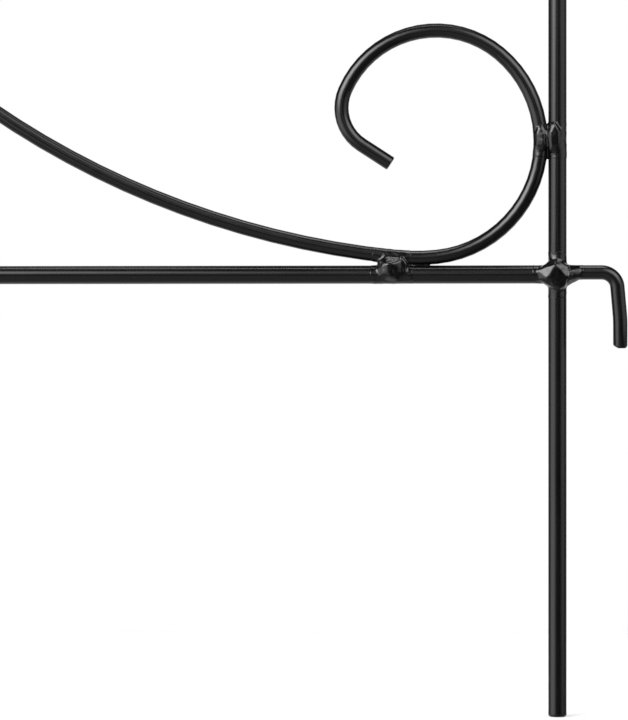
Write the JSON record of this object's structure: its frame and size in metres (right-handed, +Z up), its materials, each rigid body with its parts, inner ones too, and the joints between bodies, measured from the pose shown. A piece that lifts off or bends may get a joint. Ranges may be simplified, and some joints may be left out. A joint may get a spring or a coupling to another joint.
{
  "type": "garden edging fence",
  "caption": "Low garden edging fence of welded steel rod: scroll-filled bays between stake legs, linked by drop-in hooks and wire eyes.",
  "frame": {"origin": "centre of the flat lower end of the first bay's right leg, the leg in the picture", "axes": "+X along the fence towards its free hooks, +Z up the legs, -Y towards the viewer"},
  "size_m": [1.974, 0.0228, 0.462],
  "materials": {
    "rod_coat": "satin black powder coat",
    "wire_coat": "satin black powder coat",
    "weld_coat": "glossier black powder coat, run thick over weld metal"
  },
  "bodies": {
    "bay_1": {"bay_1_right_leg": "rod_coat", "bay_1_left_leg": "rod_coat", "bay_1_lower_rail": "rod_coat", "bay_1_upper_rail": "rod_coat", "bay_1_lower_hook": "wire_coat", "bay_1_upper_hook": "wire_coat", "bay_1_lower_eye": "wire_coat", "bay_1_upper_eye": "wire_coat", "bay_1_scroll": "wire_coat", "bay_1_cut_scroll": "wire_coat", "bay_1_corner_welds": "weld_coat", "bay_1_scroll_welds": "weld_coat", "bay_1_centre_weld": "weld_coat"},
    "bay_2": {"bay_2_right_leg": "rod_coat", "bay_2_left_leg": "rod_coat", "bay_2_lower_rail": "rod_coat", "bay_2_upper_rail": "rod_coat", "bay_2_lower_hook": "wire_coat", "bay_2_upper_hook": "wire_coat", "bay_2_lower_eye": "wire_coat", "bay_2_upper_eye": "wire_coat", "bay_2_scroll": "wire_coat", "bay_2_cut_scroll": "wire_coat", "bay_2_corner_welds": "weld_coat", "bay_2_scroll_welds": "weld_coat", "bay_2_centre_weld": "weld_coat"},
    "bay_3": {"bay_3_right_leg": "rod_coat", "bay_3_left_leg": "rod_coat", "bay_3_lower_rail": "rod_coat", "bay_3_upper_rail": "rod_coat", "bay_3_lower_hook": "wire_coat", "bay_3_upper_hook": "wire_coat", "bay_3_lower_eye": "wire_coat", "bay_3_upper_eye": "wire_coat", "bay_3_scroll": "wire_coat", "bay_3_cut_scroll": "wire_coat", "bay_3_corner_welds": "weld_coat", "bay_3_scroll_welds": "weld_coat", "bay_3_centre_weld": "weld_coat"}
  },
  "joints": [
    {"name": "bay_2_swing", "type": "hinge", "parent": "bay_1", "child": "bay_2", "pos_m": [-0.62555, 0, 0.18915], "axis": [0, 0, 1], "range_deg": [-110, 110]},
    {"name": "bay_3_swing", "type": "hinge", "parent": "bay_2", "child": "bay_3", "pos_m": [-1.2787, 0, 0.18915], "axis": [0, 0, 1], "range_deg": [-110, 110]}
  ]
}
